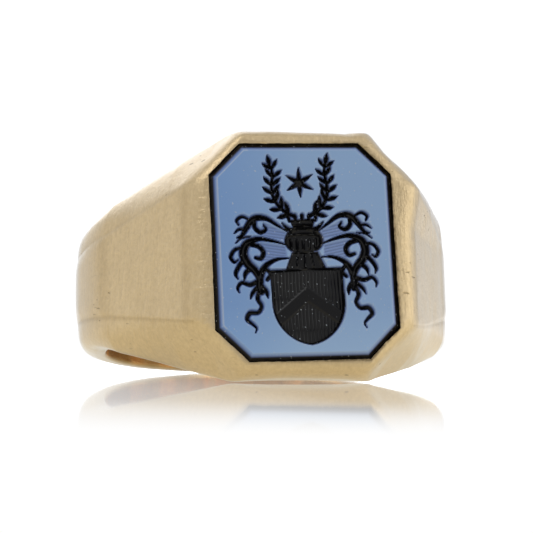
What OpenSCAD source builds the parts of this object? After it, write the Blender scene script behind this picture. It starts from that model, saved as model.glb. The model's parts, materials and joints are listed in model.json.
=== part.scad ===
// Signet ring: a solid gold ring whose cut-corner bezel holds a two-layer engraved stone.
// Millimetres. The ring is drawn with the bore along Z and the bezel facing -Y, and then
// laid on its side as it rests: on the bezel's lower edge and on the back of the shank.
// The origin is the middle of the bore.

/* [Finger] */
// Bore diameter, which is the ring size
bore_d = 19.6; // [16:0.1:24]
// Gold thickness beside and behind the finger
shank_t = 1.9; // [1.4:0.05:2.6]

/* [Shank] */
// Width over the flanks beside the finger
shank_w_side = 8.2; // [7.4:0.1:9.8]
// Width over the flanks behind the finger
shank_w_back = 7.4; // [6.2:0.1:7.4]
// Width of the outer band between the two bevels, beside the finger
band_w = 4.0; // [3.2:0.1:4.8]
// Depth of the bevels where they meet the flanks
bevel_d = 1.1; // [0.8:0.05:1.3]

/* [Bezel] */
// Height of the bezel's rim above the bore, on the centre line
bezel_rise = 4.1; // [3.4:0.05:5.2]
// Width of the rim beside the stone
rim_side_w = 1.2; // [0.8:0.05:1.6]
// How far the rim falls away towards the shoulders
rim_side_drop = 0.75; // [0.5:0.05:0.9]
// Width of the rim above and below the stone
rim_end_w = 1.0; // [0.8:0.05:1.4]
// How far the rim falls away towards the flanks
rim_end_drop = 1.6; // [1.3:0.05:2]
// Width of the flat along the bezel's upper and lower edges
end_flat = 1.0; // [0.5:0.05:1.2]
// Size of the cut corners of the bezel, across the finger
corner_w = 2.4; // [1.8:0.1:3]
// Size of the cut corners of the bezel, along the finger
corner_l = 3.2; // [2.6:0.1:3.8]
// Rise of the shallow arch along the bezel's upper and lower edges
arch_h = 0.14; // [0.05:0.01:0.25]

/* [Stone] */
// Width of the stone, across the finger
stone_w = 10.4; // [8.4:0.1:12.6]
// Length of the stone, along the finger
stone_l = 12.3; // [10:0.1:14.8]
// Size of the stone's cut corners
stone_cut = 1.8; // [1.2:0.05:2.4]
// Thickness of the whole stone, both layers
stone_t = 2.0; // [1.6:0.05:2.4]
// Thickness of the pale upper layer
blue_t = 0.2; // [0.12:0.01:0.3]
// Width of the bevel round the stone's table
stone_bevel_w = 0.4; // [0.3:0.05:0.7]
// Height of the bevel round the stone's table
stone_bevel_h = 0.35; // [0.35:0.05:0.7]

/* [Setting] */
// Clearance between the stone and the wall of its recess
seat_gap = 0.03; // [0.01:0.01:0.08]
// How far the stone's table lies below the rim
stone_sink = 0.12; // [0:0.01:0.25]
// Thickness of the cement bed under the stone
cement_t = 0.15; // [0.08:0.01:0.3]

/* [Engraving] */
// Width of the shield
shield_w = 4.2; // [3.4:0.1:5]
// Height of the straight upper part of the shield
shield_top_h = 1.3; // [0.9:0.1:1.8]
// Width of the chevron that is left standing on the shield
chevron_w = 0.7; // [0.4:0.05:0.9]
// Width of the helm above the shield
helm_d = 2.0; // [1.6:0.1:2.4]
// Outer diameter of the curve of each branch beside the helm
branch_d = 3.4; // [2.8:0.1:3.8]

/* [Hidden] */
$fn = 96;
gold = [0.80, 0.66, 0.42];
black = [0.03, 0.03, 0.04];
pale_blue = [0.42, 0.55, 0.76];
cement_grey = [0.72, 0.70, 0.64];
// Thickness of the plates that only serve to carry a hull's corners
sliver = 0.01;
// Length by which a cutting solid stands out of what it cuts
over = 1;
// How far the shoulders' ends are sunk into the shank's surfaces
weld = 0.06;
// Flat land between the recess and the rim's fall
rim_land = 0.2;
// Where the rim's gentle inner slope turns into its steep outer one, as shares of its
// width and of its drop
rim_turn = 0.72;
rim_turn_drop = 0.27;

bore_r = bore_d / 2;
shank_r = bore_r + shank_t;
face_y = bore_r + bezel_rise;
// Both the flanks and the bevels draw in towards the back by this angle
taper = atan((shank_w_side - shank_w_back) / 2 / shank_r);
// How far the bevels draw in for each millimetre of height
bevel_slope = bevel_d / ((shank_w_side - band_w) / 2);
flank_r = shank_r - bevel_d;

seat_w = stone_w + 2 * seat_gap;
seat_l = stone_l + 2 * seat_gap;
// The rim's outer corners: at the sides and at the flanks
side_x = seat_w / 2 + rim_side_w;
side_y = face_y - rim_side_drop;
end_z = seat_l / 2 + rim_end_w;
end_y = face_y - rim_end_drop;
rest_y = end_y - end_flat;
side_z = end_z - corner_l;
end_x = side_x - corner_w;
// Where the flat shoulders run tangent into the round shank, as an angle from the bezel
tangent_a = atan2(side_x, side_y) + acos((shank_r - weld) / norm([side_x, side_y]));

table_y = face_y - stone_sink;
layer_y = table_y - blue_t;
girdle_y = table_y - stone_bevel_h;
stone_back_y = table_y - stone_t;
seat_y = stone_back_y - cement_t;
// How far the joint between the layers lies inside the stone's outline
layer_inset = stone_bevel_w * (1 - blue_t / stone_bevel_h);

// The lean at which the bezel's edge and the back of the shank touch the same level
back_touch = [shank_w_side / 2 * sin(taper) + flank_r * cos(taper),
              shank_w_side / 2 * cos(taper) - flank_r * sin(taper)];
lean = atan2(end_z - back_touch[1], rest_y + back_touch[0]);

module lay_down() {
    rotate([-lean, 0, 0]) children();
}

// A rectangle with its four corners cut at 45 degrees
module cut_rectangle(w, l, cut) {
    x = w / 2;
    y = l / 2;
    polygon([[cut - x, -y], [x - cut, -y], [x, cut - y], [x, y - cut],
             [x - cut, y], [cut - x, y], [-x, y - cut], [-x, cut - y]]);
}

// Extrudes a front-view outline from the depth y_back out to the depth y_front
module facing(y_back, y_front) {
    translate([0, -y_back, 0]) rotate([90, 0, 0]) linear_extrude(y_front - y_back) children();
}

// The stone's outline, drawn in by an inset, as a solid between two depths
module stone_block(inset, y_back, y_front) {
    cut = stone_cut - inset * (2 - sqrt(2));
    facing(y_back, y_front) cut_rectangle(stone_w - 2 * inset, stone_l - 2 * inset, cut);
}

// The stone's outline with sloping sides between two depths and two insets
module stone_frustum(inset_back, y_back, inset_front, y_front) {
    hull() {
        stone_block(inset_back, y_back, y_back + sliver);
        stone_block(inset_front, y_front - sliver, y_front);
    }
}

// Everything on the inner side of one flank and its bevel, drawn in by an inset
module flank_limit(inset) {
    reach = 2 * shank_r;
    wide_r = shank_r + over;
    flank_z = shank_w_side / 2 - inset;
    rotate([-taper, 0, 0]) rotate_extrude()
        polygon([[0, -reach], [wide_r, -reach],
                 [wide_r, flank_z - (wide_r - flank_r + inset) / bevel_slope],
                 [flank_r - inset, flank_z], [0, flank_z]]);
}

// The shank before it is bored: a round bar, bevelled towards both flanks
module shank_blank(inset = 0) {
    intersection() {
        cylinder(r = shank_r - inset, h = 2 * shank_w_side, center = true);
        flank_limit(inset);
        mirror([0, 0, 1]) flank_limit(inset);
    }
}

// The thin slice, just inside the shank, where one shoulder ends
module shoulder_slice(side) {
    intersection() {
        shank_blank(weld);
        rotate([0, 0, side * tangent_a]) translate([0, -shank_r, 0])
            cube([sliver, 2 * shank_t, 2 * shank_w_side], center = true);
    }
}

module rim_plate(y, w, l, cut) {
    facing(y - sliver, y) cut_rectangle(w, l, cut);
}

// The bezel and both shoulders, stretched from the rim back to the round shank
module head_blank() {
    land = 2 * rim_land;
    turn_w = seat_w + 2 * rim_turn * rim_side_w;
    turn_l = seat_l + 2 * rim_turn * rim_end_w;
    turn_cut = stone_cut + rim_turn * (corner_w - stone_cut);
    hull() {
        rim_plate(face_y, seat_w + land, seat_l + land, stone_cut);
        rim_plate(face_y - rim_turn_drop * rim_end_drop, turn_w, turn_l, turn_cut);
        rim_plate(side_y, 2 * side_x, 2 * side_z, sliver);
        rim_plate(end_y, 2 * end_x, 2 * end_z, sliver);
        rim_plate(rest_y + sliver, 2 * end_x, 2 * end_z, sliver);
        shoulder_slice(-1);
        shoulder_slice(1);
    }
}

// A large cylinder that hollows one end of the bezel by the arch
module arch_cutter() {
    arch_r = (end_x * end_x + arch_h * arch_h) / (2 * arch_h);
    translate([0, -end_y, end_z - arch_h + arch_r]) rotate([90, 0, 0])
        cylinder(r = arch_r, h = 2 * (rim_end_drop + end_flat), center = true, $fn = 720);
}

module ring_body() {
    color(gold) lay_down() difference() {
        union() {
            shank_blank();
            head_blank();
        }
        cylinder(r = bore_r, h = 4 * shank_w_side, center = true, $fn = 180);
        facing(seat_y, face_y + over) cut_rectangle(seat_w, seat_l, stone_cut);
        arch_cutter();
        mirror([0, 0, 1]) arch_cutter();
    }
}

module stone_dark_layer() {
    color(black) lay_down() union() {
        stone_block(0, stone_back_y, girdle_y);
        stone_frustum(0, girdle_y - sliver, layer_inset, layer_y);
    }
}

// A heater shield: straight sides above, two arcs meeting in a point below
module shield() {
    translate([-shield_w / 2, 0]) square([shield_w, shield_top_h]);
    intersection() {
        translate([-shield_w / 2, 0]) circle(r = shield_w);
        translate([shield_w / 2, 0]) circle(r = shield_w);
        translate([-shield_w / 2, -shield_w]) square([shield_w, shield_w + shield_top_h / 2]);
    }
}

// Two slanting bars that meet under the middle of the shield's top
module chevron() {
    bar_l = shield_w;
    for (side = [-1, 1])
        translate([0, -shield_w / 6]) rotate([0, 0, side * 40])
            translate([side > 0 ? -bar_l : 0, -chevron_w / 2]) square([bar_l, chevron_w]);
}

// A curved branch that rises beside the helm
module branch() {
    difference() {
        circle(d = branch_d);
        translate([branch_d / 8, branch_d / 8]) circle(d = 0.8 * branch_d);
    }
}

// A closed helm from the front: a round crown on a straight-sided neck
module helm() {
    intersection() {
        circle(d = helm_d);
        translate([-helm_d / 2, 0]) square([helm_d, helm_d / 2]);
    }
    translate([-helm_d / 2, -helm_d / 2]) square([helm_d, helm_d / 2]);
}

// The arms cut into the stone: shield with a chevron, helm and two branches
module arms() {
    shield_y = -shield_w / 5;
    helm_y = shield_y + shield_top_h + helm_d / 2 + chevron_w / 2;
    translate([0, shield_y]) difference() {
        shield();
        chevron();
    }
    translate([0, helm_y]) helm();
    for (side = [0, 1]) mirror([side, 0])
        translate([helm_d / 2 + branch_d / 4, helm_y + branch_d / 3]) rotate([0, 0, 90]) branch();
}

module stone_blue_layer() {
    color(pale_blue) lay_down() difference() {
        stone_frustum(layer_inset, layer_y, stone_bevel_w, table_y);
        facing(layer_y - over, table_y + over) arms();
    }
}

module setting_cement() {
    color(cement_grey) lay_down() stone_block(0, seat_y, stone_back_y);
}

ring_body();
stone_dark_layer();
stone_blue_layer();
setting_cement();
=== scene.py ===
import json
import math
import bmesh
import bpy
import numpy as np
from mathutils import Matrix, Vector, noise


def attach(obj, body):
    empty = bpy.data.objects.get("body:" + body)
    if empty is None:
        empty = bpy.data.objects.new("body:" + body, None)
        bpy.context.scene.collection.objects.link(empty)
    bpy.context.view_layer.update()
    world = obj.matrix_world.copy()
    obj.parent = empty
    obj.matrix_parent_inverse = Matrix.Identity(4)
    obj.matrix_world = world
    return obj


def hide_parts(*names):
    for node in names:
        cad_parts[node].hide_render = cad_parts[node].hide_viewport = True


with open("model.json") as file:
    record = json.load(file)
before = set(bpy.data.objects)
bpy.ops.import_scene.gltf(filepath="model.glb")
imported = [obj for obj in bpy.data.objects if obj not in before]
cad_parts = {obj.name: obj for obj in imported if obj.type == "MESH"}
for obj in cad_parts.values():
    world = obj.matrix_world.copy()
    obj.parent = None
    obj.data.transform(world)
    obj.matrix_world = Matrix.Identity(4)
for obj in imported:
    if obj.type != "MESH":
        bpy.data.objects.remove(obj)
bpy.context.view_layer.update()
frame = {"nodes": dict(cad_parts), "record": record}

MM = 0.001
record = frame["record"]


# ---------------------------------------------------------------- the ring's own frame
# The CAD ring leans as it rests. In its own frame the bore runs along z, x goes across
# the bezel and h is the height from the bore's middle towards the bezel.
bore_mount = record["mounts"][0]
axis = Vector(bore_mount["axis"])
LEAN = math.atan2(axis.y, axis.z)
COS_L, SIN_L = math.cos(LEAN), math.sin(LEAN)
BORE_R = bore_mount["dims"]["r_mm"]


def to_world(x, h, z):
    """Points of the ring's own frame, in mm, as an n x 3 array in metres."""
    x, h, z = (np.asarray(a, float) for a in (x, h, z))
    return np.stack([x, -h * COS_L + z * SIN_L, h * SIN_L + z * COS_L], -1) * MM


def own_box(node):
    """Lowest and highest x, h and z of a CAD node in the ring's own frame, in mm."""
    co = np.array([v.co for v in frame["nodes"][node].data.vertices], float) / MM
    x, y, z = co.T
    own = np.stack([x, -y * COS_L + z * SIN_L, y * SIN_L + z * COS_L], -1)
    return own.min(0), own.max(0)


_, ring_top = own_box("ring_body")
stone_low, stone_top = own_box("stone_dark_layer")
_, blue_top = own_box("stone_blue_layer")
cement_low, _ = own_box("setting_cement")

SHANK_R, FACE_H, END_Z = ring_top      # outer radius, rim's height, half length of the bezel
STONE_X, LAYER_H, STONE_Z = stone_top  # the stone's half width and half length, black's height
STONE_BACK = stone_low[1]
TABLE_H = blue_top[1]
SEAT_H = cement_low[1]
BLUE_T = TABLE_H - LAYER_H

# ---------------------------------------------------------------- gold: shape
# widths and heights in mm, in the ring's own frame
SEAT_GAP = 0.03                    # between the stone and the wall of its seat
SEAT_TURN = math.radians(1.5)      # the stone sits slightly turned in the bezel
SEAT_WALL = 0.8                    # less than the height of the seat's wall
LIP = 0.05                         # rounding of the rim's inner edge
UNEVEN_LIP = 0.02                  # how far that edge strays from its line
STONE_CUT = 1.8                    # size of the stone's cut corners
SIDE_X = 6.43                      # rim's outer side edge: half width, height, half length
SIDE_H = FACE_H - 0.75
SIDE_Z = 3.98
CORNER_X = 4.03                    # where the rim's end edge meets the cut corner
CORNER_NORMAL = (0.755, 0.656)     # direction, in x and z, in which the cut corner faces
REST_H = FACE_H - 2.6              # foot of the flat along the rim's end edge
ARCH = 0.14                        # hollow of the bezel's end edges at their middle
# how the rim falls off outwards: its width, its drop, the curve's power, its mean slope
RIM_SIDE = (1.20, 0.75, 1.25, 1.15)
RIM_END = (1.00, 1.60, 1.90, 1.50)
RIM_CORNER = (0.72, 0.85, 1.25, 1.30)
FLANK_SLOPE = 0.40                 # flanks under the bezel, mm of width per mm of height
FLANK_BACK = 3.735                 # half width of the shank behind the finger
FLANK_TAPER = 0.010                # gain in that half width per mm towards the bezel
FLANK_LEAN = 1.03                  # how much steeper a flank's field is than its distance
BEVEL_D = 0.95                     # depth of the bevels where they meet the flanks
SWELL = 0.30                       # how far the bevels stand proud of flat
SWELL_FROM, SWELL_OVER = 22, 12    # the swell sets in at this angle and over this many degrees
RIDGE_T, RIDGE_S = 2.50, 2.05      # half width of the outer band at the shoulder, beside
RIDGE_TURN = math.radians(45)      # the band narrows from one to the other over this angle
# widths over which surfaces round into each other
ROUND_RIDGE, ROUND_RIDGE_GAIN, ROUND_RIDGE_OVER = 0.16, 0.40, 0.30
ROUND_FLANK, ROUND_RIM, ROUND_CROWN = 0.32, 0.50, 0.36
ROUND_END, ROUND_BORE, ROUND_UNDER_BEZEL = 0.22, 0.30, 0.90

SIDE_R, SIDE_PHI = math.hypot(SIDE_X, SIDE_H), math.atan2(SIDE_X, SIDE_H)
# the angle from the bezel at which the flat shoulder runs into the round shank
TANGENT = SIDE_PHI + math.acos(SHANK_R / SIDE_R)
SHOULDER_L = SIDE_R * math.sin(TANGENT - SIDE_PHI)


def smax(a, b, k):
    """The larger of two fields, rounded over a width k where they meet."""
    d = np.maximum(k - np.abs(a - b), 0) / k
    return np.maximum(a, b) + d * d * k / 4


def flank_z(h):
    """Half width over the flanks at a height."""
    under_bezel = END_Z - FLANK_SLOPE * (REST_H - h)
    shank = FLANK_BACK + FLANK_TAPER * (h + SHANK_R)
    return smax(under_bezel, shank, ROUND_UNDER_BEZEL)


def band_r(phi):
    """Radius of the outer band: flat along the shoulder, round along the shank."""
    return np.where(phi < TANGENT, SHANK_R / np.cos(phi - TANGENT), SHANK_R)


def over_band(phi, r):
    """Distance outside the outer band."""
    return np.where(phi < TANGENT, r * np.cos(phi - TANGENT), r) - SHANK_R


def ridge(phi):
    """Radius and half width of the band's edge at an angle from the bezel."""
    r = band_r(phi)
    run = r * np.sin(TANGENT - phi)
    on_shoulder = RIDGE_T + (SIDE_Z - RIDGE_T) * run / SHOULDER_L
    t = np.clip((phi - TANGENT) / RIDGE_TURN, 0, 1)
    on_shank = RIDGE_T + (RIDGE_S - RIDGE_T) * t * (2 - t)
    return r, np.where(phi < TANGENT, on_shoulder, on_shank)


def flank_edge(phi):
    """Radius and half width of the bevel's inner edge at an angle from the bezel."""
    inner = SHANK_R - BEVEL_D
    x1, h1 = inner * math.sin(TANGENT), inner * math.cos(TANGENT)
    nx, nh = REST_H - h1, x1 - CORNER_X
    size = math.hypot(nx, nh)
    nx, nh = nx / size, nh / size
    d = nx * x1 + nh * h1
    line = d / np.maximum(nx * np.sin(phi) + nh * np.cos(phi), 1e-3)
    r = np.where(phi < TANGENT, line, inner)
    return r, flank_z(r * np.cos(phi))


def over_bevel(phi, r, z):
    """Distance outside the flat bevel, and the place across it from its ridge, 0 to 1."""
    rk, zk = ridge(phi)
    rf, zf = flank_edge(phi)
    dr, dz = rf - rk, zf - zk
    over = ((r - rk) * dz - (z - zk) * dr) / np.hypot(dr, dz)
    place = ((r - rk) * dr + (z - zk) * dz) / (dr * dr + dz * dz)
    return over, np.clip(place, 0, 1)


def over_rim(top, beyond, rim):
    """Distance outside one fall of the rim, at a distance beyond the seat's outline."""
    width, drop, power, slope = rim
    return (top + drop * (np.maximum(beyond, 0) / width) ** power) / slope


def outside(phi, r, z):
    """Negative inside the gold, in mm, for the blank ring before the stone's seat."""
    x, h, z = r * np.sin(phi), r * np.cos(phi), np.abs(z)
    bevel, t = over_bevel(phi, r, z)
    swell = np.clip((np.degrees(phi) - SWELL_FROM) / SWELL_OVER, 0, 1)
    bevel = bevel - SWELL * 4 * t * (1 - t) * swell
    flank = (z - flank_z(h)) / FLANK_LEAN
    on_shank = np.clip((phi - TANGENT) / ROUND_RIDGE_OVER, 0, 1)
    body = smax(over_band(phi, r), bevel, ROUND_RIDGE + ROUND_RIDGE_GAIN * on_shank)
    body = smax(body, flank, ROUND_FLANK)
    seat_x, seat_z = STONE_X + SEAT_GAP, STONE_Z + SEAT_GAP
    nx, nz = CORNER_NORMAL
    beyond_cut = nx * (x - seat_x) + nz * (z - seat_z + STONE_CUT)
    top = h - FACE_H
    crown = smax(over_rim(top, x - seat_x, RIM_SIDE), over_rim(top, z - seat_z, RIM_END),
                 ROUND_RIM)
    crown = smax(crown, over_rim(top, beyond_cut, RIM_CORNER), ROUND_RIM)
    body = smax(body, crown, ROUND_CROWN)
    hollow = ARCH * np.clip(1 - (x / CORNER_X) ** 2, 0, 1)
    body = smax(body, z - END_Z + hollow, ROUND_END)
    return smax(body, BORE_R - r, ROUND_BORE)


RAY = 9.0                          # longer than any way from inside the wall to its skin
ROUGH_STEPS, FINE_STEPS = 24, 34   # halvings of a ray when its points are spread and placed
# angles from the bezel: from, to and step in degrees, finest where the rim ends
ANGLES = [(0, 17, 0.34), (17, 31, 0.22), (31, 60, 0.6), (60, 70, 0.5), (70, 180, 1.25)]
SECTION_RAYS = 420
SECTION_POINTS = 84
# the points of a section crowd where it turns and thin out in the bore
BORE_SHARE, TURN_SHARE = 0.45, 0.9


def hit(phi, psi, steps):
    """Radius and z where rays from the middle of the wall, at angles psi, meet its skin."""
    middle = np.minimum(band_r(phi), FACE_H / np.maximum(np.cos(phi), 0.3))
    middle = (BORE_R + middle) / 2
    lo, hi = np.zeros_like(psi), np.full_like(psi, RAY)
    for _ in range(steps):
        m = (lo + hi) / 2
        inner = outside(phi, middle + m * np.cos(psi), m * np.sin(psi)) < 0
        lo, hi = np.where(inner, m, lo), np.where(inner, hi, m)
    return middle + lo * np.cos(psi), lo * np.sin(psi)


def blank_grid():
    """Points round half the section, for each angle from the bezel to the back."""
    degrees = np.concatenate([np.arange(*part) for part in ANGLES] + [[180]])
    phi = np.radians(degrees)[:, None]
    psi = np.linspace(0, math.pi, SECTION_RAYS)[None, :]
    r, z = hit(*np.broadcast_arrays(phi, psi), ROUGH_STEPS)
    dr, dz = np.diff(r, axis=1), np.diff(z, axis=1)
    turn = np.abs(np.diff(np.unwrap(np.arctan2(dz, dr), axis=1), axis=1))
    turn = np.pad(turn, ((0, 0), (0, 1)))
    in_bore = (r[:, 1:] + r[:, :-1]) / 2 < BORE_R + 0.02
    length = np.hypot(dr, dz) * np.where(in_bore, BORE_SHARE, 1.0)
    total = np.cumsum(length + TURN_SHARE * turn, axis=1)
    total = np.pad(total, ((0, 0), (1, 0)))
    want = np.linspace(0, 1, SECTION_POINTS)
    psis = np.stack([np.interp(want * t[-1], t, psi[0]) for t in total])
    r, z = hit(np.broadcast_to(phi, psis.shape), psis, FINE_STEPS)
    z[:, 0] = 0
    z[:, -1] = 0
    return phi[:, 0], r, z


def gold_mesh():
    """The blank ring as one closed quad mesh, mirrored from a quarter of it."""
    phi, r, z = blank_grid()
    r = np.concatenate([r, r[:, -2:0:-1]], 1)
    z = np.concatenate([z, -z[:, -2:0:-1]], 1)
    phi = np.concatenate([phi, -phi[-2:0:-1]])
    r = np.concatenate([r, r[-2:0:-1]], 0)
    z = np.concatenate([z, z[-2:0:-1]], 0)
    sections, points = r.shape
    x, h = r * np.sin(phi)[:, None], r * np.cos(phi)[:, None]
    own = np.stack([x, h, z], -1).reshape(-1, 3)
    i, j = np.meshgrid(np.arange(sections), np.arange(points), indexing="ij")
    i2, j2 = (i + 1) % sections, (j + 1) % points
    corners = [i * points + j, i2 * points + j, i2 * points + j2, i * points + j2]
    bm = bmesh.new()
    verts = [bm.verts.new(c) for c in own]
    for f in np.stack(corners, -1).reshape(-1, 4).tolist():
        bm.faces.new([verts[k] for k in f])
    bm.normal_update()
    return bm


def octagon(grow):
    """Corners, in order, of the seat's turned outline in x and z, grown all round."""
    x, z = STONE_X + SEAT_GAP + grow, STONE_Z + SEAT_GAP + grow
    c = STONE_CUT + grow * (2 - math.sqrt(2))
    pts = [(x, z - c), (x - c, z), (c - x, z), (-x, z - c),
           (-x, c - z), (c - x, -z), (x - c, -z), (x, c - z)]
    s, k = math.sin(SEAT_TURN), math.cos(SEAT_TURN)
    return [(a * k - b * s, a * s + b * k) for a, b in pts]


def outline_sides(grow):
    """Outward normal and distance of each side of the seat's outline."""
    rim = octagon(grow)
    sides = []
    for (ax, az), (bx, bz) in zip(rim, rim[1:] + rim[:1]):
        nx, nz = bz - az, ax - bx
        size = math.copysign(math.hypot(nx, nz), nx * ax + nz * az)
        nx, nz = nx / size, nz / size
        sides.append((nx, nz, nx * ax + nz * az))
    return sides


def seat_loop(bm):
    """The open edge's points, in order."""
    follow = {}
    for e in bm.edges:
        if len(e.link_faces) == 1:
            for a, b in (e.verts, reversed(e.verts)):
                follow.setdefault(a, []).append(b)
    loop, last = [next(iter(follow))], None
    while True:
        here = loop[-1]
        ahead = [v for v in follow[here] if v is not last]
        last = here
        if ahead[0] is loop[0]:
            return loop
        loop.append(ahead[0])


def cut_seat(bm):
    """Opens the bezel's top along the seat's outline and lines the seat."""
    rim = octagon(LIP)
    sides = outline_sides(LIP)

    def top_faces(reach):
        """Faces of the bezel's top less than a reach outside the outline."""
        found = []
        for f in bm.faces:
            c = f.calc_center_median()
            beyond = max(nx * c.x + nz * c.z - d for nx, nz, d in sides)
            if c.y > SEAT_H + SEAT_WALL and beyond < reach:
                found.append(f)
        return found

    def on_side(p, k):
        """Distance to side k of the outline, k, and the place along that side."""
        (ax, az), (bx, bz) = rim[k], rim[(k + 1) % 8]
        ux, uz = bx - ax, bz - az
        t = ((p.x - ax) * ux + (p.z - az) * uz) / (ux * ux + uz * uz)
        t = min(max(t, 0), 1)
        return math.hypot(ax + t * ux - p.x, az + t * uz - p.z), k, t

    for nx, nz, d in sides:
        near = top_faces(0.5)
        geom = dict.fromkeys(near)
        for f in near:
            geom.update(dict.fromkeys([*f.verts, *f.edges]))
        bmesh.ops.bisect_plane(bm, geom=list(geom), dist=1e-7,
                               plane_co=(nx * d, 0, nz * d), plane_no=(nx, 0, nz))
    bmesh.ops.delete(bm, geom=top_faces(0), context="FACES")
    loop = seat_loop(bm)
    places = [min(on_side(v.co, k) for k in range(8))[1:] for v in loop]

    def points_along(grow):
        """The loop's points moved to the outline grown by another amount."""
        corners = octagon(grow)
        for v, (k, t) in zip(loop, places):
            (ax, az), (bx, bz) = corners[k], corners[(k + 1) % 8]
            yield v.co.y, sides[k], ax + t * (bx - ax), az + t * (bz - az)

    rings = [loop]
    for turn in (30, 60, 90):
        turn = math.radians(turn)
        ring = []
        for h, (nx, nz, _), x, z in points_along(LIP * (1 - math.sin(turn))):
            # the rim's inner edge is not quite even
            nudge = UNEVEN_LIP * noise.noise(Vector((2.6 * x, 4.0, 2.6 * z)))
            x, z = x + nudge * nx, z + nudge * nz
            h -= LIP * (1 - math.cos(turn))
            h += UNEVEN_LIP * noise.noise(Vector((3.4 * x, 9.0, 3.4 * z)))
            ring.append(bm.verts.new((x, h, z)))
        rings.append(ring)
    rings.append([bm.verts.new((x, SEAT_H, z)) for _, _, x, z in points_along(0)])
    n = len(loop)
    for upper, lower in zip(rings, rings[1:]):
        for k in range(n):
            bm.faces.new((upper[k], upper[(k + 1) % n], lower[(k + 1) % n], lower[k]))
    bm.faces.new(rings[-1])
    bmesh.ops.recalc_face_normals(bm, faces=bm.faces[:])


def ramp(value, width):
    """0 up to 0, 1 from the width on, and straight between."""
    return min(max(value / width, 0), 1)


# how far the wear moves the skin, in mm: over wide and middling stretches, and all over
WEAR_WIDE, WEAR_MIDDLING, WEAR_ALL = 0.030, 0.010, 0.020
# how much fuller one corner of the bezel, one end edge and one flank are than their mirror
FULLER_CORNER_X, FULLER_CORNER_Z, FULLER_END, FULLER_FLANK = 0.45, 0.25, 0.12, 0.30
# the seat's surroundings, which keep their place, end here: in x, and in x + z times a share
KEPT_X, KEPT_CORNER, KEPT_SHARE = 5.4, 6.98, 0.72


def worn(bm):
    """Slight unevenness of a hand-finished, worn ring."""
    bm.normal_update()
    for v in bm.verts:
        c = v.co
        if math.hypot(c.x, c.y) < BORE_R + 0.05:
            continue
        wide = WEAR_WIDE * noise.noise(c * 0.35 + Vector((3.1, 7.7, 1.3)))
        middling = WEAR_MIDDLING * noise.noise(c * 1.1 + Vector((11.0, 2.0, 5.0)))
        v.co = c + v.normal * (wide + middling - WEAR_ALL)
        x, h, z = v.co

        # one corner of the bezel was filed less than the others, but not beside the seat
        clear = max(x - KEPT_X, KEPT_SHARE * (x + z) - KEPT_CORNER)
        spared = ramp(clear, 0.8) * ramp(x, 2) * ramp(z - 1.5, 2.5) * ramp(h - 3, 6)
        v.co.x += FULLER_CORNER_X * spared
        limit = max(z, END_Z - 0.01)
        v.co.z = min(v.co.z + FULLER_CORNER_Z * spared * ramp(z - 6.1, 0.7), limit)
        if z > 5:
            # the arch along the upper edge is hardly there
            arch = ramp(1 - (x / CORNER_X) ** 2, 1) * ramp(z - 6.3, 0.7)
            v.co.z = min(v.co.z + FULLER_END * arch, limit)
        # the flank beside the finger is fuller on one side
        v.co.z -= FULLER_FLANK * ramp(x - 4.5, 3) * ramp(-z - 2, 1.2) * ramp(h + 4, 4)


def bell(distance, width):
    """1 at distance 0, falling off smoothly."""
    return np.exp(-(distance / width) ** 2)


# widths of the painted shade: of a ridge's painted dark line, of the painted shades below the rim
# and at the shoulder's end, and of the painted shade round the stone
LINE_W, RIM_SHADE_W, SHOULDER_SHADE_W, SEAT_SHADE_W = 0.07, 0.40, math.radians(3.0), 0.08
LINE_REACH = 0.2                   # how far from the ridge its line may lie
RIM_SHADE, SHOULDER_SHADE = 0.75, 0.55
UPPER_LINE = 0.45                  # strength of the lines on the upper side
LINES_END = 2.0                    # the lines end at this angle from the bezel, in radians


def marks(bm):
    """Per point: painted shade along the ridges and on the outer band, depth inside the bore,
    painted shade round the seat.
    """
    x, h, z = np.array([v.co for v in bm.verts], float).T
    phi, r, side = np.abs(np.arctan2(x, h)), np.hypot(x, h), np.abs(z)
    band = over_band(phi, r)
    bevel, _ = over_bevel(phi, r, side)
    # a painted dark line along the ridge where the outer band meets the bevel, weaker on the upper
    # side
    near = np.maximum(np.abs(band), np.abs(bevel)) < LINE_REACH
    line = bell(band - bevel, LINE_W) * (near & (h < SIDE_H - 0.1))
    line *= np.where(z > 0, UPPER_LINE, 1.0) * np.clip((LINES_END - phi) / 0.4, 0, 1)

    # painted shades on the outer band: where the shoulder runs into the shank, and below the rim
    on_band = np.clip(1 - np.abs(band) / 0.06, 0, 1)
    past_shoulder = phi - TANGENT - math.radians(1.5)
    painted_band_shade = SHOULDER_SHADE * bell(past_shoulder, SHOULDER_SHADE_W) * on_band
    below_rim = SHOULDER_L - r * np.sin(TANGENT - phi) - 0.55
    by_rim = np.clip(1.3 - np.abs(band) / 0.25, 0, 1) * np.clip((SIDE_Z - side) / 0.5, 0, 1)
    painted_band_shade += RIM_SHADE * bell(below_rim, RIM_SHADE_W) * by_rim

    inside = np.clip((BORE_R + 0.12 - r) / 0.10, 0, 1)

    # painted shade round the stone, where the seat's wall lies in shadow, most of it on the right
    # and below
    beyond = np.max([nx * x + nz * z - d for nx, nz, d in outline_sides(LIP)], 0)
    seat = bell(np.maximum(beyond, 0), SEAT_SHADE_W) * (h > SEAT_H + SEAT_WALL)
    seat *= np.clip(0.45 + 0.12 * x - 0.05 * z, 0.05, 0.85)
    return {"edge": np.clip(np.maximum(line, painted_band_shade), 0, 1), "bore": inside, "seat": seat}


def add_object(name, me):
    """Links a mesh to the scene, smooth apart from its sharp edges."""
    me.polygons.foreach_set("use_smooth", [True] * len(me.polygons))
    me.set_sharp_from_angle(angle=math.radians(38))
    ob = bpy.data.objects.new(name, me)
    bpy.context.scene.collection.objects.link(ob)
    return ob


def add_values(me, key, values):
    """Stores one number for each point, for the materials to read."""
    layer = me.attributes.new(key, "FLOAT", "POINT")
    layer.data.foreach_set("value", np.asarray(values, np.float32))


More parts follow.
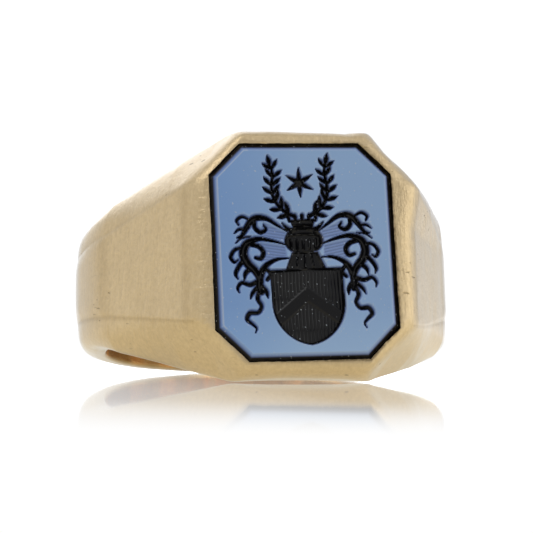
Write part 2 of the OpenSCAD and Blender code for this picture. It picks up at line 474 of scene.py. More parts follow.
def gold_ring():
    bm = gold_mesh()
    cut_seat(bm)
    values = marks(bm)
    worn(bm)
    own = np.array([v.co for v in bm.verts], float)
    for v, c in zip(bm.verts, to_world(*own.T)):
        v.co = c
    bmesh.ops.recalc_face_normals(bm, faces=bm.faces[:])
    me = bpy.data.meshes.new("gold_ring")
    bm.to_mesh(me)
    bm.free()
    for key in values:
        add_values(me, key, values[key])
    return add_object("gold_ring", me)


gold = gold_ring()

# ---------------------------------------------------------------- stone: engraving
# The cuts are drawn as depths, in mm, on a fine raster in the arms' own turned frame, with
# x to the right and y up from the stone's middle. The stone's mesh then samples them.
CELL = 0.05                        # size of the mesh's cells
BEVEL_W, BEVEL_H = 0.40, 0.35      # bevel round the stone's table
ARMS_TURN = math.radians(1.6)
RASTER = 0.025
THICKER, THINNEST = 1.28, 0.045    # strokes as cut against strokes as listed, half widths
GROOVE = 1.9                       # how steeply a groove's walls run up into the table
NX = int(2 * STONE_X / RASTER) + 3
NZ = int(2 * STONE_Z / RASTER) + 3
GX = (np.arange(NX) - (NX - 1) / 2) * RASTER
GZ = (np.arange(NZ) - (NZ - 1) / 2) * RASTER
U, V = np.meshgrid(GX, GZ, indexing="ij")
U, V = (U * math.cos(ARMS_TURN) + V * math.sin(ARMS_TURN),
        V * math.cos(ARMS_TURN) - U * math.sin(ARMS_TURN))
cutting = np.zeros_like(U)


def curve(points):
    """A smooth curve through points (x, y, half width), sampled about every 0.03 mm."""
    p = np.array(points, float)
    p = np.vstack([2 * p[0] - p[1], p, 2 * p[-1] - p[-2]])
    out = []
    for a, b, c, d in zip(p, p[1:], p[2:], p[3:]):
        n = max(3, int(np.hypot(*(c - b)[:2]) / 0.03))
        t = (np.arange(n) / n)[:, None]
        out.append(0.5 * (2 * b + (c - a) * t + (2 * a - 5 * b + 4 * c - d) * t ** 2
                          + (3 * b - a - 3 * c + d) * t ** 3))
    return np.vstack(out + [p[-2][None]])


def window(x, y, w):
    """The part of the raster round a point of the arms."""
    c, s = math.cos(ARMS_TURN), math.sin(ARMS_TURN)
    gx, gz = x * c - y * s, x * s + y * c
    i0 = max(int((gx - w - GX[0]) / RASTER), 0)
    i1 = min(int((gx + w - GX[0]) / RASTER) + 2, NX)
    j0 = max(int((gz - w - GZ[0]) / RASTER), 0)
    j1 = min(int((gz + w - GZ[0]) / RASTER) + 2, NZ)
    return slice(i0, i1), slice(j0, j1)


def stroke(points, depth, both=True):
    """A groove cut with a round wheel, on one side or on both sides of the middle."""
    for side in ((1, -1) if both else (1,)):
        for x, y, w in curve(points):
            w = max(THICKER * w, THINNEST)
            win = window(side * x, y, w)
            d2 = ((U[win] - side * x) ** 2 + (V[win] - y) ** 2) / (w * w)
            cut = depth * np.maximum(1 - d2, 0) ** GROOVE
            cutting[win] = np.maximum(cutting[win], cut)


def area(test, depth, edge):
    """A sunk area where test is positive, with walls that slope over the edge width."""
    cut = depth * np.clip(test / edge, 0, 1)
    np.maximum(cutting, cut, out=cutting)


def poly_inside(points):
    """Distance inside a convex outline given counter-clockwise, negative outside."""
    best = np.full_like(U, 99.0)
    for (ax, ay), (bx, by) in zip(points, points[1:] + points[:1]):
        ex, ey = bx - ax, by - ay
        size = math.hypot(ex, ey)
        best = np.minimum(best, (ex * (V - ay) - ey * (U - ax)) / size)
    return best


# the shield: straight sides that run into two arcs, hatched, with a plain chevron
SHIELD_W, SHIELD_TOP, ARC_Y, ARC_R = 2.12, -0.98, -2.95, 2.45
straight = SHIELD_W - np.abs(U)
arcs = ARC_R - np.hypot(np.abs(U) - SHIELD_W + ARC_R, V - ARC_Y)
shield = np.minimum(SHIELD_TOP - V, np.where(V > ARC_Y, straight, arcs))
area(shield, 0.34, 0.07)
bar = 0.36 - np.abs(V + 2.45 + 0.78 * np.abs(U)) * 0.79
chevron = np.minimum(bar, shield - 0.12)
field = np.clip((shield - 0.14) / 0.05, 0, 1) * np.clip(-chevron / 0.05, 0, 1)
cutting += 0.030 * np.sin(2 * math.pi * U / 0.2) * field
cutting -= 0.07 * np.clip(chevron / 0.05, 0, 1)
cutting += 0.05 * np.clip(1 - np.abs(shield - 0.10) / 0.05, 0, 1) * (shield > 0)

# helm with a grille, collar and coronet
helm = 0.90 - np.hypot(U * 0.74, V - 0.58)
area(helm, 0.46, 0.20)
for x in (-0.66, -0.33, 0.0, 0.33, 0.66):
    grille = np.clip(1 - np.abs(U - x * (1 + 0.1 * V)) / 0.09, 0, 1)
    cutting -= 0.16 * grille * np.clip((0.34 - np.abs(V - 0.42)) / 0.08, 0, 1)
for y, w in ((1.00, 0.85), (-0.02, 0.80)):
    cutting -= 0.12 * np.clip(1 - np.abs(V - y + 0.12 * U * U) / 0.08, 0, 1) * (np.abs(U) < w)
cutting -= 0.06 * np.clip(1 - np.abs(helm - 0.16) / 0.06, 0, 1)
area(poly_inside([(-1.25, -1.1), (1.25, -1.1), (0.78, -0.02), (-0.78, -0.02)]), 0.38, 0.12)
stroke([(0.15, 1.28, 0.14), (0.75, 1.22, 0.18), (1.18, 1.60, 0.06)], 0.40)
area(poly_inside([(-0.62, 1.28), (0.62, 1.28), (0.82, 1.86), (-0.82, 1.86)]), 0.38, 0.12)
cutting -= 0.10 * np.clip(1 - np.abs(V - 1.50) / 0.07, 0, 1) * (np.abs(U) < 0.6)
for x in (0.0, 0.38, 0.74):
    stroke([(x, 1.72, 0.13), (x * 1.1, 2.02, 0.15)], 0.40)
for x in (0.0, 0.34, 0.68):
    for side in (1, -1):
        pleat = np.clip(1 - np.abs(side * U - x * (1 - 0.5 * V)) / 0.07, 0, 1)
        cutting -= 0.10 * pleat * np.clip((0.40 - np.abs(V + 0.56)) / 0.1, 0, 1)

# two leafy sprigs rising from the coronet, and a star between them
stem = [(0.40, 1.95, 0.16), (1.05, 2.35, 0.15), (1.50, 2.98, 0.14), (1.60, 3.70, 0.13),
        (1.50, 4.42, 0.12), (1.60, 5.02, 0.10)]
stroke(stem, 0.44)
line = curve(stem)[:, :2]
for at in np.linspace(0.10, 0.93, 7):
    i = int(at * (len(line) - 2))
    (x, y), (tx, ty) = line[i], line[i + 1] - line[i]
    way = math.atan2(ty, tx)
    size = 1.0 - 0.20 * at
    for side in (1, -1):
        a = way + side * math.radians(44)
        dx, dy = size * math.cos(a), size * math.sin(a)
        stroke([(x, y, 0.06), (x + 0.24 * dx, y + 0.24 * dy, 0.15 * size),
                (x + 0.50 * dx, y + 0.50 * dy, 0.18 * size), (x + 0.78 * dx, y + 0.78 * dy, 0.04)],
               0.40)
stroke([(1.60, 4.95, 0.10), (1.66, 5.22, 0.19), (1.74, 5.55, 0.04)], 0.40)
for k in range(6):
    a = math.radians(90 + 60 * k)
    stroke([(0, 3.9, 0.22), (0.40 * math.cos(a), 3.9 + 0.40 * math.sin(a), 0.17),
            (0.86 * math.cos(a), 3.9 + 0.86 * math.sin(a), 0.04)], 0.38, both=False)

# mantling: scrolls that roll away from the helm, leaves and tendrils
scrolls = [
    ([(0.90, 1.10, 0.05), (1.45, 1.50, 0.11), (2.10, 1.92, 0.18), (2.75, 1.92, 0.24),
      (3.18, 1.48, 0.22), (3.48, 1.02, 0.14), (3.82, 0.86, 0.05)], 0.42),
    ([(2.72, 1.86, 0.14), (2.74, 1.42, 0.17), (2.44, 1.14, 0.17), (2.12, 1.30, 0.13),
      (2.24, 1.56, 0.07)], 0.42),
    ([(2.98, 1.86, 0.10), (3.42, 2.06, 0.13), (3.74, 1.86, 0.13), (3.66, 1.60, 0.08)], 0.34),
    ([(3.26, 1.36, 0.12), (3.66, 1.34, 0.12), (3.94, 1.12, 0.05)], 0.36),
    ([(1.00, 0.36, 0.05), (1.80, 0.62, 0.11), (2.60, 0.76, 0.17), (3.26, 0.52, 0.27),
      (3.50, -0.04, 0.31), (3.30, -0.60, 0.30), (2.90, -1.04, 0.26), (2.66, -1.55, 0.22)], 0.46),
    ([(3.06, 0.46, 0.16), (2.62, 0.34, 0.18), (2.36, 0.00, 0.18), (2.52, -0.34, 0.17),
      (2.84, -0.30, 0.12)], 0.42),
    ([(3.52, 0.30, 0.14), (3.96, 0.20, 0.14), (4.22, -0.18, 0.15), (4.06, -0.50, 0.12),
      (3.84, -0.38, 0.06)], 0.36),
    ([(3.46, -0.34, 0.20), (3.80, -0.74, 0.17), (4.02, -1.16, 0.14), (3.92, -1.46, 0.05)], 0.40),
    ([(3.14, -0.86, 0.20), (3.46, -1.16, 0.16), (3.56, -1.56, 0.05)], 0.40),
    ([(0.95, -0.40, 0.05), (1.62, -0.44, 0.12), (2.24, -0.74, 0.19), (2.60, -1.26, 0.26),
      (2.72, -1.90, 0.27), (2.62, -2.30, 0.16)], 0.44),
    ([(2.30, -0.92, 0.14), (2.04, -1.26, 0.17), (2.26, -1.56, 0.14)], 0.40),
    ([(2.84, -1.66, 0.20), (3.26, -1.80, 0.18), (3.72, -1.68, 0.14), (3.96, -1.96, 0.12),
      (3.90, -2.24, 0.05)], 0.36),
    ([(2.62, -1.90, 0.20), (2.36, -2.26, 0.17), (2.30, -2.60, 0.05)], 0.40),
    ([(2.88, -2.00, 0.18), (3.16, -2.30, 0.14), (3.30, -2.62, 0.04)], 0.38),
    ([(2.72, -2.10, 0.20), (2.88, -2.60, 0.18), (2.70, -3.04, 0.16), (2.92, -3.38, 0.17),
      (3.38, -3.40, 0.19), (3.56, -3.74, 0.17), (3.28, -4.02, 0.13), (3.08, -4.26, 0.09),
      (3.16, -4.52, 0.04)], 0.32),
    ([(3.04, 0.92, 0.05), (3.56, 0.84, 0.10), (3.90, 0.56, 0.05)], 0.32),
]
for points, depth in scrolls:
    stroke(points, depth)

# shallow hatched linings between the scrolls
linings = [
    [(1.05, 0.50), (2.60, 0.90), (2.30, 1.75), (0.95, 1.10)],
    [(1.00, -0.36), (2.60, -0.62), (2.60, 0.66), (1.05, 0.34)],
    [(1.30, -0.62), (2.10, -0.85), (2.40, -1.60), (2.05, -1.70)],
]
for side in (1, -1):
    for shape in linings:
        pts = [(side * x, y) for x, y in shape]
        inner = poly_inside(pts if side > 0 else pts[::-1])
        fan = np.clip(inner / 0.10, 0, 1)
        hatch = 0.5 + 0.5 * np.cos(2 * math.pi * (V - 0.18 * np.abs(U)) / 0.17)
        np.maximum(cutting, fan * (0.085 + 0.040 * hatch), out=cutting)

cutting = np.maximum(cutting, 0)

# ---------------------------------------------------------------- stone: shape


def blurred(grid, reach):
    """The raster averaged over a square, twice."""
    for axis in (0, 1, 0, 1):
        grid = sum(np.roll(grid, k, axis) for k in range(-reach, reach + 1)) / (2 * reach + 1)
    return grid


# the polish is a little hazy round every cut
haze = np.clip(2.2 * blurred((cutting > 0.10).astype(float), 3), 0, 1)
haze *= np.clip(1 - cutting / 0.05, 0, 1)


def sampled(grid, x, z):
    """Values of a raster at points of the stone in its own turned frame."""
    fx = (x - GX[0]) / RASTER
    fz = (z - GZ[0]) / RASTER
    i = np.clip(fx.astype(int), 0, NX - 2)
    j = np.clip(fz.astype(int), 0, NZ - 2)
    a, b = np.clip(fx - i, 0, 1), np.clip(fz - j, 0, 1)
    return (grid[i, j] * (1 - a) * (1 - b) + grid[i + 1, j] * a * (1 - b)
            + grid[i, j + 1] * (1 - a) * b + grid[i + 1, j + 1] * a * b)


def past_outline(x, z):
    """Distances outside the stone's straight sides and outside its cut corners."""
    ax, az = np.abs(x), np.abs(z)
    side = np.maximum(ax - STONE_X, az - STONE_Z)
    return side, (ax + az - STONE_X - STONE_Z + STONE_CUT) / math.sqrt(2)


def stone_depth(x, z):
    """Depth below the table, in mm, at points of the stone in its own turned frame."""
    bevel = np.maximum(np.maximum(*past_outline(x, z)) + BEVEL_W, 0) * BEVEL_H / BEVEL_W
    return np.maximum(sampled(cutting, x, z), bevel)


def stone_haze_and_highlight(x, z):
    """A painted highlight along the table's edge, most of it on one side, and pale haze round the
    cuts.
    """
    side, cut = past_outline(x, z)
    near = np.exp(-((np.maximum(side, cut) + BEVEL_W) / 0.03) ** 2)
    # the painted highlight is strongest along the left side and the upper left cut corner
    highlight_side = (x < 0) & ((STONE_X + x < 0.6) | ((cut > -0.6) & (z > 0)))
    share = np.where(highlight_side, 0.55, 0.12)
    return np.maximum(near * share, 0.30 * sampled(haze, x, z))


def stone_sheet():
    """The stone's outline as a fine flat mesh with edges along every crease."""
    layer_w = BEVEL_W * (1 - BLUE_T / BEVEL_H)

    def lines(half):
        """Places of the mesh's lines across the stone: even on the table, then the bevel's."""
        table = half - BEVEL_W
        inner = np.linspace(-table, table, 2 * int(table / CELL) + 1)
        outer = half - np.array([(BEVEL_W + layer_w) / 2, layer_w, layer_w / 2, 0])
        return np.concatenate([-outer[::-1], inner, outer])

    xs, zs = lines(STONE_X), lines(STONE_Z)
    bm = bmesh.new()
    rows = [[bm.verts.new((x, 0, z)) for z in zs] for x in xs]
    for a, b in zip(rows, rows[1:]):
        for k in range(len(zs) - 1):
            bm.faces.new((a[k], a[k + 1], b[k + 1], b[k]))
    for inset in (0, layer_w, BEVEL_W):
        d = (STONE_X + STONE_Z - STONE_CUT) / math.sqrt(2) - inset
        for sx in (1, -1):
            for sz in (1, -1):
                no = Vector((sx, 0, sz)).normalized()
                bmesh.ops.bisect_plane(bm, geom=bm.verts[:] + bm.edges[:] + bm.faces[:],
                                       dist=1e-6, plane_co=no * d, plane_no=no,
                                       clear_outer=(inset == 0))
    bm.verts.index_update()
    co = np.array([v.co for v in bm.verts], float)
    faces = [[v.index for v in f.verts] for f in bm.faces]
    bm.free()
    return co[:, 0], co[:, 2], faces


def border_of(faces):
    """The edges that belong to one face only, in that face's direction."""
    edges = dict.fromkeys((a, b) for f in faces for a, b in zip(f, f[1:] + f[:1]))
    return [(a, b) for a, b in edges if (b, a) not in edges]


def closed(name, x, z, top, bottom, faces, haze_and_highlight, one_back):
    """A closed solid between a top and a flat bottom over the same outline.

    The bottom is one face if the outline is a single loop, or else it repeats the top's.
    """
    used = sorted({v for f in faces for v in f})
    index = {v: k for k, v in enumerate(used)}
    faces = [[index[v] for v in f] for f in faces]
    x, z, top, haze_and_highlight = x[used], z[used], top[used], haze_and_highlight[used]
    s, c = math.sin(SEAT_TURN), math.cos(SEAT_TURN)
    x, z = x * c - z * s, x * s + z * c
    n = len(used)
    border = border_of(faces)
    walls = [[b, a, a + n, b + n] for a, b in border]
    if one_back:
        follow = dict(border)
        loop = [border[0][0]]
        while follow[loop[-1]] != loop[0]:
            loop.append(follow[loop[-1]])
        back = [[v + n for v in reversed(loop)]]
    else:
        back = [[v + n for v in reversed(f)] for f in faces]
    verts = to_world(x, top, z).tolist() + to_world(x, np.full(n, bottom), z).tolist()
    me = bpy.data.meshes.new(name)
    me.from_pydata(verts, [], faces + walls + back)
    add_values(me, "haze_and_highlight", np.concatenate([haze_and_highlight, np.zeros(n)]))
    bm = bmesh.new()
    bm.from_mesh(me)
    loose = [v for v in bm.verts if not v.link_faces]
    bmesh.ops.delete(bm, geom=loose, context="VERTS")
    bmesh.ops.recalc_face_normals(bm, faces=bm.faces[:])
    bm.to_mesh(me)
    bm.free()
    return add_object(name, me)


def blue_faces(sheet, depth):
    """The sheet's faces that are not cut through the blue layer."""
    shown = [min(depth[v] for v in f) < BLUE_T - 0.003 for f in sheet]
    while True:
        # two blue cells that meet only at a point are joined, so that the layer stays one solid
        count = {}
        for a, _ in border_of([f for f, on in zip(sheet, shown) if on]):
            count[a] = count.get(a, 0) + 1
        crossed = {v for v, c in count.items() if c > 1}
        if not crossed:
            return [f for f, on in zip(sheet, shown) if on]
        shown = [on or any(v in crossed for v in f) for f, on in zip(sheet, shown)]


stone_x, stone_z, sheet = stone_sheet()
depth = stone_depth(stone_x, stone_z)
dark_top = TABLE_H - np.maximum(depth, BLUE_T)
dark = closed("stone_dark", stone_x, stone_z, dark_top, STONE_BACK, sheet, 0 * depth, True)
# nowhere is the blue layer thinner than 0.002 mm, so that it stays closed
blue_skin = TABLE_H - np.minimum(depth, BLUE_T - 0.002)
blue = closed("stone_blue", stone_x, stone_z, blue_skin, LAYER_H, blue_faces(sheet, depth),
              stone_haze_and_highlight(stone_x, stone_z), False)


# ---------------------------------------------------------------- materials
BLACK, WHITE = (0, 0, 0), (1, 1, 1)


class Nodes:
    """A thin helper that makes shader nodes and links them."""

    def __init__(self, owner):
        owner.use_nodes = True
        self.tree = owner.node_tree
        self.tree.nodes.clear()

    def put(self, socket, value):
        if isinstance(value, bpy.types.NodeSocket):
            self.tree.links.new(value, socket)
        else:
            socket.default_value = value

    def add(self, kind, props=None, **inputs):
        node = self.tree.nodes.new(kind)
        for key, value in (props or {}).items():
            setattr(node, key, value)
        for key, value in inputs.items():
            self.put(node.inputs[key.replace("_", " ")], value)
        return node

    def math(self, op, a, b=0.0, clamp=False):
        node = self.add("ShaderNodeMath", {"operation": op, "use_clamp": clamp})
        self.put(node.inputs[0], a)
        self.put(node.inputs[1], b)
        return node.outputs[0]

    def ramp(self, value, stops, ease="LINEAR"):
        node = self.add("ShaderNodeValToRGB", Fac=value)
        node.color_ramp.interpolation = ease
        marked = node.color_ramp.elements
        while len(marked) < len(stops):
            marked.new(0.5)
        for stop, (at, colour) in zip(marked, stops):
            stop.position = at
            stop.color = (*colour, 1)
        return node.outputs[0]

    def grain(self, scale, stretch=(1, 1, 1), turn=(0, 0, 0), detail=2.0, rough=0.5):
        """Noise over the object, with scale cells per metre, finer along a stretched axis."""
        where = self.add("ShaderNodeTexCoord").outputs["Object"]
        place = self.add("ShaderNodeMapping", Vector=where, Rotation=turn, Scale=stretch)
        node = self.add("ShaderNodeTexNoise", Vector=place.outputs[0], Scale=scale,
                        Detail=detail, Roughness=rough)
        return node.outputs["Fac"]

    def dot(self, vector, direction):
        node = self.add("ShaderNodeVectorMath", {"operation": "DOT_PRODUCT"})
        self.put(node.inputs[0], vector)
        node.inputs[1].default_value = direction
        return node.outputs["Value"]

    def blend(self, kind, factor, a, b):
        node = self.add("ShaderNodeMix", {"data_type": "RGBA", "blend_type": kind})
        for socket, value in ((node.inputs[0], factor), (node.inputs[6], a), (node.inputs[7], b)):
            self.put(socket, value)
        return node.outputs[2]

    def tinted(self, colour, value, stops):
        """A colour multiplied by a ramp over a value."""
        return self.blend("MULTIPLY", 1.0, colour, self.ramp(value, stops))

    def stored(self, key):
        """A number that the mesh stores for each point."""
        return self.add("ShaderNodeAttribute", {"attribute_name": key}).outputs["Fac"]

    def bump(self, height, strength, distance, normal=None):
        node = self.add("ShaderNodeBump", Height=height, Strength=strength, Distance=distance)
        if normal is not None:
            self.put(node.inputs["Normal"], normal)
        return node.outputs[0]

    def mixed(self, factor, a, b):
        """Two shaders mixed."""
        node = self.add("ShaderNodeMixShader")
        for socket, value in zip(node.inputs, (factor, a, b)):
            self.put(socket, value)
        return node.outputs[0]

    def surface(self, shader):
        out = self.add("ShaderNodeOutputMaterial")
        self.tree.links.new(shader, out.inputs["Surface"])


def new_material(name):
    material = bpy.data.materials.new(name)
    return material, Nodes(material)


def gold_material():
    material, n = new_material("worn_gold")
    tone = n.grain(260, detail=3)
    speck = n.grain(3800, detail=4, rough=0.65)
    streak = n.grain(260, stretch=(22, 22, 1), turn=(0.10, 0.05, 0.0), detail=4, rough=0.65)
    colour = n.ramp(tone, [(0.3, (0.90, 0.705, 0.430)), (0.7, (0.96, 0.760, 0.470))])
    colour = n.tinted(colour, speck, [(0.25, (0.84, 0.83, 0.80)), (0.75, WHITE)])
    colour = n.tinted(colour, streak, [(0.35, (0.95, 0.945, 0.93)), (0.65, (1.02, 1.02, 1.02))])

    # painted sheen: the gold is painted paler, towards white, where it is seen at a flat angle
    facing = n.add("ShaderNodeLayerWeight", Blend=0.5).outputs["Facing"]
    painted_sheen = n.ramp(facing, [(0.50, BLACK), (0.78, (0.28, 0.28, 0.28)), (0.93, WHITE)])
    colour = n.blend("MIX", painted_sheen, colour, (1.0, 0.97, 0.93, 1))
    # painted shade: darker along the ridges' lines and in soft bands at the shoulder's end and
    # below the rim
    edge = n.math("MULTIPLY", n.stored("edge"), 0.9)
    colour = n.blend("MULTIPLY", edge, colour, (0.80, 0.78, 0.74, 1))

    # painted reflections inside the bore: darker brown with painted orange glints, standing in for
    # light bounced round the polished bore
    painted_glint = n.grain(430, stretch=(1, 1, 0.25), detail=2)
    deep = n.ramp(painted_glint, [(0.36, (0.46, 0.29, 0.10)), (0.50, (0.62, 0.41, 0.17)),
                          (0.62, (0.90, 0.52, 0.18)), (0.75, (0.78, 0.60, 0.26))])
    colour = n.blend("MIX", n.math("MULTIPLY", n.stored("bore"), 0.85), colour, deep)

    # painted shade in patches round the stone, where the seat's wall lies in shadow
    patchy = n.ramp(n.grain(2600, detail=2), [(0.36, (0.35, 0.35, 0.35)), (0.56, WHITE)])
    painted_seat_shade = n.math("MULTIPLY", n.stored("seat"), patchy)
    colour = n.blend("MIX", painted_seat_shade, colour, (0.22, 0.155, 0.075, 1))

    # a few short nicks, only in some places
    dash = n.grain(1100, stretch=(1, 1, 4), turn=(0.3, 0.9, 0.2), detail=1)
    where = n.grain(210, turn=(0.4, 0.1, 0.7), detail=1)
    keep = n.ramp(where, [(0.53, BLACK), (0.62, WHITE)])
    nick = n.math("MULTIPLY", n.ramp(dash, [(0.245, WHITE), (0.295, BLACK)]), keep)
    colour = n.blend("MIX", n.math("MULTIPLY", nick, 0.65), colour, (0.30, 0.21, 0.11, 1))

    # brushing along and across, fine grain and the nicks' depth
    cross = n.grain(240, stretch=(1, 16, 16), turn=(0.2, 0.5, 0.4), detail=3, rough=0.6)
    bump = n.bump(streak, 0.75, 0.00006)
    bump = n.bump(cross, 0.8, 0.00005, bump)
    bump = n.bump(speck, 1.0, 0.00003, bump)
    bump = n.bump(n.math("SUBTRACT", 1.0, nick), 0.6, 0.00004, bump)
    rough = n.math("ADD", n.math("MULTIPLY", tone, 0.12), 0.26)
    shader = n.add("ShaderNodeBsdfPrincipled", Metallic=1.0, Roughness=rough, Normal=bump,
                   Base_Color=colour)
    n.surface(shader.outputs[0])
    return material


def stone_material(name, rough):
    """Banded stone: its colour depends on how deep the surface lies below the table."""
    material, n = new_material(name)
    where = n.add("ShaderNodeTexCoord").outputs["Object"]
    height = n.dot(where, (0, -COS_L, SIN_L))
    deep = n.math("DIVIDE", n.math("SUBTRACT", TABLE_H * MM, height), BLUE_T * MM)
    cloud = n.grain(130, detail=3)
    wobble = n.math("MULTIPLY", n.math("SUBTRACT", cloud, 0.5), 0.08)
    colour = n.ramp(n.math("ADD", deep, wobble),
                    [(0.0, (0.296, 0.456, 0.780)), (0.48, (0.215, 0.315, 0.630)),
                     (0.86, (0.060, 0.085, 0.210)), (1.0, (0.0025, 0.0025, 0.0040))])

    # painted shading: the blue is painted deeper towards the left edge and paler towards the
    # bottom, where a hazy reflection lies
    split = n.add("ShaderNodeSeparateXYZ", Vector=where)
    across = n.math("DIVIDE", n.math("ADD", split.outputs["X"], 0.0046), 0.0045, True)
    painted_paling_below = n.math("DIVIDE", n.math("SUBTRACT", -0.0010, split.outputs["Z"]), 0.006, True)
    colour = n.tinted(colour, across, [(0.0, (0.80, 0.89, 0.99)), (1.0, (1.06, 1.05, 1.01))])
    colour = n.tinted(colour, painted_paling_below, [(0.0, WHITE), (0.8, (1.42, 1.34, 1.18))])
    colour = n.tinted(colour, cloud, [(0.3, (0.96, 0.97, 0.98)), (0.7, (1.03, 1.03, 1.02))])

    # pale haze round the cuts, and a painted highlight along the table's edge, mostly on the left
    colour = n.blend("MIX", n.stored("haze_and_highlight"), colour, (0.62, 0.68, 0.78, 1))
    dust = n.ramp(n.grain(8000, detail=0), [(0.785, BLACK), (0.81, WHITE)])
    colour = n.blend("MIX", n.math("MULTIPLY", dust, 0.5), colour, (0.60, 0.66, 0.74, 1))
    bump = n.bump(n.grain(2400, detail=2), 0.06, 0.00002)
    shader = n.add("ShaderNodeBsdfPrincipled", Roughness=rough, Normal=bump, Base_Color=colour,
                   Specular_IOR_Level=0.38)
    n.surface(shader.outputs[0])
    return material


def cement_material():
    material, n = new_material("setting_cement_mat")
    crumbs = n.grain(3000, detail=4)
    colour = n.ramp(crumbs, [(0.3, (0.42, 0.40, 0.34)), (0.7, (0.56, 0.54, 0.47))])
    bump = n.bump(crumbs, 0.5, 0.00003)
    shader = n.add("ShaderNodeBsdfPrincipled", Base_Color=colour, Roughness=0.9, Normal=bump)
    n.surface(shader.outputs[0])
    return material


gold.data.materials.append(gold_material())
blue.data.materials.append(stone_material("onyx_pale_blue", 0.16))
dark.data.materials.append(stone_material("onyx_black_layer", 0.28))
cement_node = frame["nodes"]["setting_cement"]
cement_node.data.materials.clear()
cement_node.data.materials.append(cement_material())

for piece, node, slot in ((gold, "ring_body", "gold"), (dark, "stone_dark_layer", "onyx_black"),
                          (blue, "stone_blue_layer", "onyx_blue")):
    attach(piece, "root")
    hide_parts(node)

# ---------------------------------------------------------------- floor, light and camera
bpy.context.view_layer.update()
FLOOR_GAP = 0.01 * MM
MIRROR_REACH, MIRROR_HALF_W, MIRROR_X = 0.08, 0.02, 0.002   # of the table's faint mirror
NEAR_TABLE = 0.02                  # the table's light changes within this distance
floor_z = min(v.co.z for v in gold.data.vertices) - FLOOR_GAP


def floor_material():
    """A white table: a faint mirror near the ring, and the light that the ring sees in it."""
    material, n = new_material("white_table")
    where = n.add("ShaderNodeTexCoord").outputs["Object"]
    length = n.add("ShaderNodeVectorMath", {"operation": "LENGTH"})
    n.put(length.inputs[0], where)
    far = length.outputs["Value"]
    split = n.add("ShaderNodeSeparateXYZ", Vector=where)

    # the mirror fades with the distance from the bore's middle, and to both sides
    fade = n.ramp(n.math("DIVIDE", far, MIRROR_REACH), [(0.43, WHITE), (0.79, BLACK)], "EASE")
    aside = n.math("ABSOLUTE", n.math("SUBTRACT", split.outputs["X"], MIRROR_X))
    clear = n.ramp(n.math("DIVIDE", aside, MIRROR_HALF_W),
                   [(0.25, WHITE), (0.75, (0.56, 0.56, 0.56))])
    fresnel = n.add("ShaderNodeFresnel", IOR=1.78).outputs[0]
    sheen = n.math("MULTIPLY", n.math("MULTIPLY", fade, clear), fresnel)
    mirror = n.add("ShaderNodeBsdfGlossy", Color=(1, 1, 1, 1), Roughness=0.035)

    # the table's light on the ring: warm and dim in front, bright behind and to the right
    toward = n.math("ADD", n.math("MULTIPLY", split.outputs["X"], 0.20),
                    n.math("MULTIPLY", split.outputs["Y"], 0.98))
    behind = n.math("ADD", n.math("MULTIPLY", n.math("DIVIDE", toward, far), 0.5), 0.5)
    lit = n.ramp(behind, [(0.25, (0.545, 0.505, 0.400)), (0.60, (0.70, 0.67, 0.59)),
                          (0.92, (0.56, 0.54, 0.51)), (0.98, (1.60, 1.58, 1.55))])
    # painted shadow: the table's light on the ring is dimmed close round the ring's foot, as a
    # contact shadow
    lit = n.tinted(lit, n.math("DIVIDE", far, NEAR_TABLE),
                   [(0.48, (0.84, 0.82, 0.77)), (0.60, (1.15, 1.16, 1.18))])
    lit = n.tinted(lit, n.math("DIVIDE", split.outputs["X"], far),
                   [(0.1, WHITE), (0.9, (1.25, 1.28, 1.34))])
    plain = n.add("ShaderNodeEmission", Color=lit, Strength=1.0)
    glow = n.add("ShaderNodeEmission", Color=(1, 1, 1, 1), Strength=1.02)
    seen = n.add("ShaderNodeLightPath").outputs["Is Camera Ray"]
    table = n.mixed(seen, plain.outputs[0], glow.outputs[0])
    n.surface(n.mixed(sheen, table, mirror.outputs[0]))
    return material


bpy.ops.mesh.primitive_plane_add(size=4, location=(0, 0, floor_z))
floor = bpy.context.object
floor.name = "floor"
floor.data.materials.append(floor_material())

# a weak key light from the upper left, in metres and watts
KEY_PLACE, KEY_SIZE, KEY_POWER = (-0.25, -0.20, 0.45), 0.30, 0.35
# light from round some directions: the direction, the cosine at which it fades out, its gain
BASE_LIGHT = 0.55
SEEN_WHITE = 1.05
LOBES = [
    ((-0.10, 0.90, 0.42), 0.88, 1.0),           # behind and above
    ((0.10, 0.99, 0.04), 0.95, 0.50),           # straight behind
    ((-0.89, 0.44, 0.12), 0.85, 0.16),          # left
    ((0.25, 0.965, 0.04), 0.970, 1.9),          # behind, to the right
    ((1, -0.12, 0.20), 0.72, 0.62),             # right
    ((0.186, -0.924, 0.335), 0.80, -0.18),      # dimmer in front, where the stone looks
]


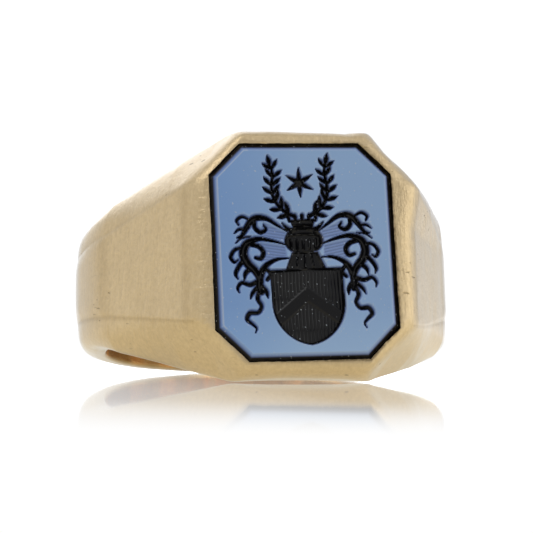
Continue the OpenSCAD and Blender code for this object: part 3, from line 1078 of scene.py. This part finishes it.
def studio_world():
    """Soft light on the ring from those directions, and plain white for the camera."""
    world = bpy.data.worlds.new("studio")
    n = Nodes(world)
    level = BASE_LIGHT
    for direction, start, gain in LOBES:
        where = n.add("ShaderNodeTexCoord").outputs["Generated"]
        cosine = n.dot(where, Vector(direction).normalized())
        t = n.math("DIVIDE", n.math("SUBTRACT", cosine, start), 1 - start, True)
        level = n.math("ADD", level, n.math("MULTIPLY", n.math("POWER", t, 1.5), gain))
    white = n.add("ShaderNodeMix", {"data_type": "FLOAT"})
    n.put(white.inputs[0], n.add("ShaderNodeLightPath").outputs["Is Camera Ray"])
    n.put(white.inputs[2], level)
    n.put(white.inputs[3], SEEN_WHITE)
    back = n.add("ShaderNodeBackground", Color=(1, 1, 1, 1), Strength=white.outputs[0])
    n.tree.links.new(back.outputs[0], n.add("ShaderNodeOutputWorld").inputs["Surface"])
    return world


def add_softbox():
    light = bpy.data.lights.new("key", "AREA")
    light.shape = "SQUARE"
    light.size = KEY_SIZE
    light.energy = KEY_POWER
    box = bpy.data.objects.new("key", light)
    box.location = KEY_PLACE
    box.rotation_euler = (-box.location).to_track_quat("-Z", "Y").to_euler()
    bpy.context.scene.collection.objects.link(box)


bpy.context.scene.world = studio_world()
add_softbox()
view = bpy.context.scene.view_settings
view.view_transform = "Standard"
view.look = "None"

# the camera stands low in front, a little to the left, and looks slightly up
TURN, UP, ROLL = math.radians(10.73), math.radians(-2.15), math.radians(0.3)
AIM_RIGHT, AIM_UP = 0.37 * MM, 1.70 * MM
DISTANCE = 108.25 * MM
SENSOR = 36
LENS_IN_WIDTHS = 1700 / 533        # focal length, in widths of the picture
back = Vector((-math.sin(TURN) * math.cos(UP), -math.cos(TURN) * math.cos(UP), math.sin(UP)))
right = (-back).cross(Vector((0, 0, 1))).normalized()
up = right.cross(-back)
target = right * AIM_RIGHT + up * AIM_UP
cam_right = right * math.cos(ROLL) + up * math.sin(ROLL)
cam_up = up * math.cos(ROLL) - right * math.sin(ROLL)
cam_data = bpy.data.cameras.new("camera")
cam_data.sensor_width = SENSOR
cam_data.lens = SENSOR * LENS_IN_WIDTHS
cam_data.clip_start, cam_data.clip_end = 0.002, 20
cam = bpy.data.objects.new("camera", cam_data)
turn = Matrix((cam_right, cam_up, back)).transposed().to_4x4()
cam.matrix_world = Matrix.Translation(target + back * DISTANCE) @ turn
bpy.context.scene.collection.objects.link(cam)
bpy.context.scene.camera = cam
